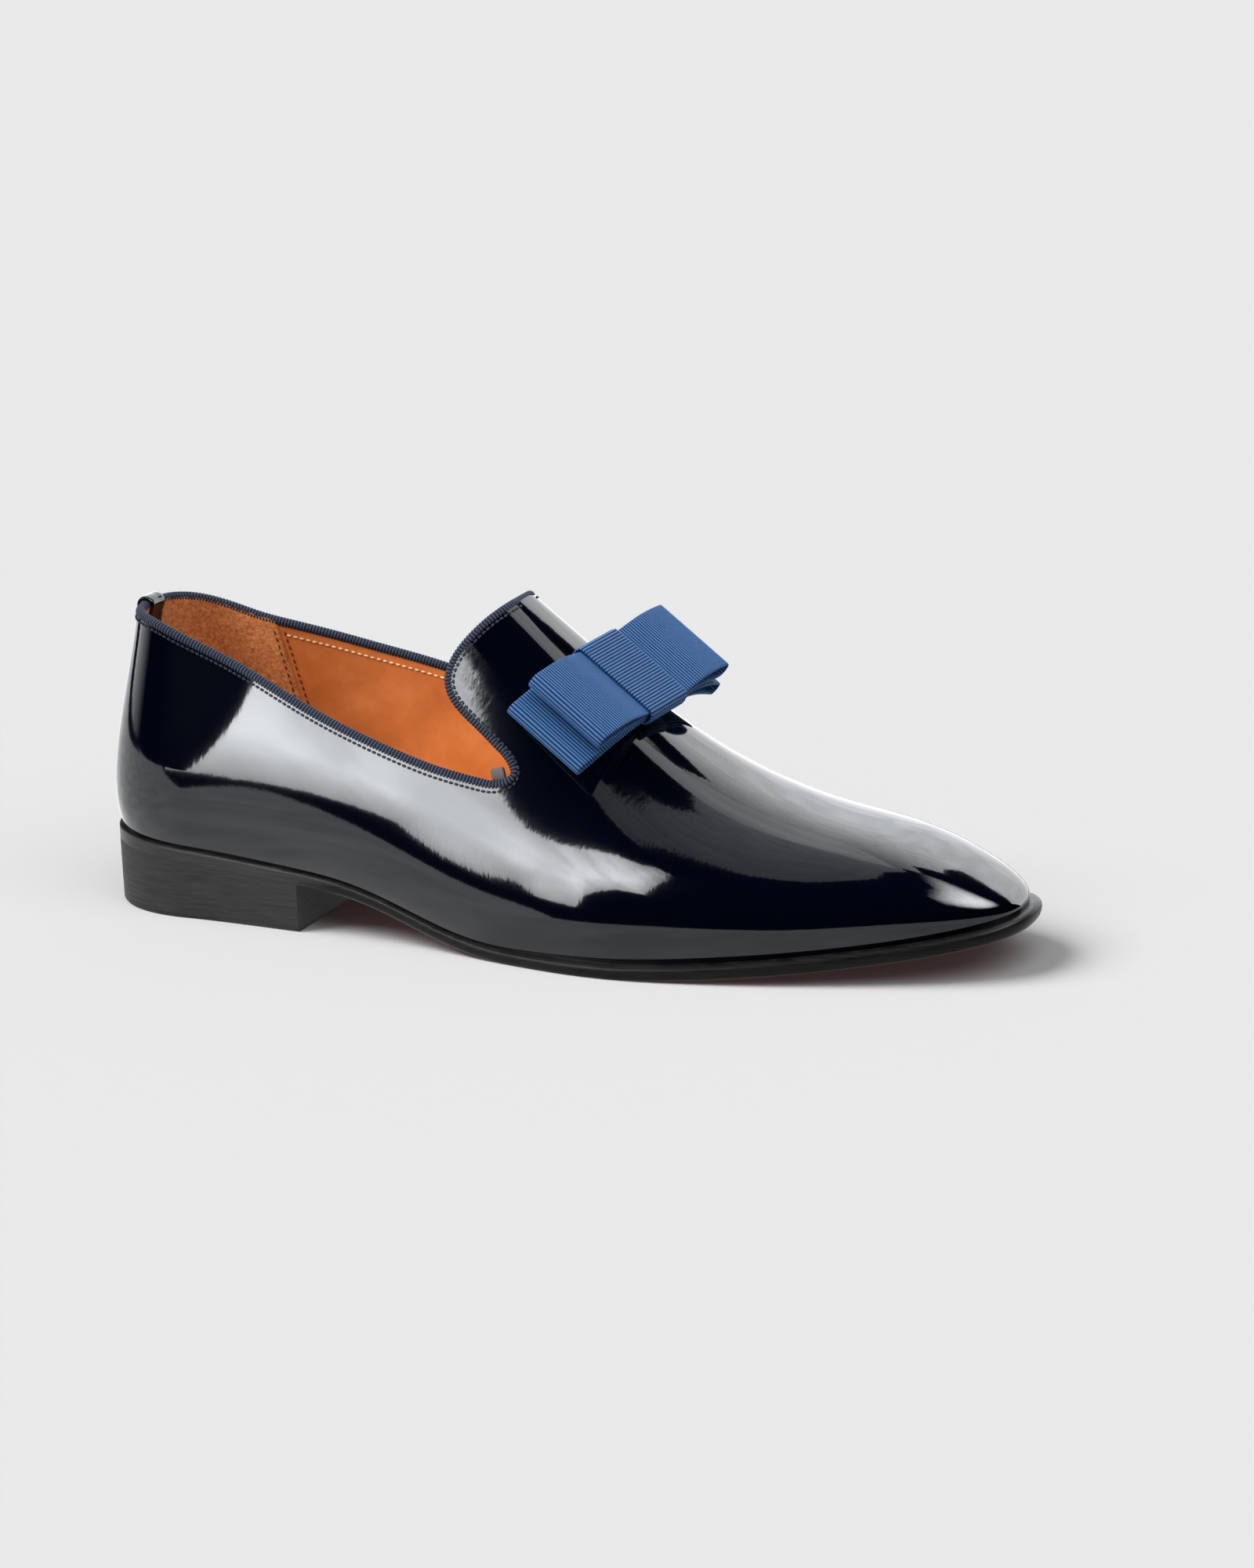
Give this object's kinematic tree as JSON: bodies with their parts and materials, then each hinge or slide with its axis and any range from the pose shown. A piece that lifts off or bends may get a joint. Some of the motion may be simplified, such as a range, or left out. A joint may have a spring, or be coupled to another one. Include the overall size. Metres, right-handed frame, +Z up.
{
  "type": "patent leather slip-on shoe with a ribbon bow",
  "caption": "Right-foot patent leather slip-on with a raised tongue, ribbed topline binding, a flat grosgrain bow on the instep, a thin leather sole and a low block heel.",
  "frame": {"origin": "on the floor under the middle of the shoe's box", "axes": "+X to the toe, +Y to the medial (inner) side, +Z up from the floor"},
  "size_m": [0.3024, 0.0972, 0.1039],
  "materials": {
    "patent_leather": "mirror gloss patent, near-black navy",
    "sole_edge": "black waxed edge, stained matte underside",
    "heel_stack": "black stacked heel, satin",
    "lining_leather": "tan lining leather, matte",
    "grosgrain_dark": "ribbed navy binding",
    "grosgrain_blue": "ribbed blue grosgrain ribbon"
  },
  "bodies": {
    "root": {"upper": "patent_leather", "back_stay": "patent_leather", "outsole": "sole_edge", "heel": "heel_stack", "insole": "lining_leather", "topline_binding": "grosgrain_dark", "bow_lower_loop": "grosgrain_blue", "bow_upper_loop": "grosgrain_blue", "bow_band": "grosgrain_blue"}
  },
  "joints": []
}
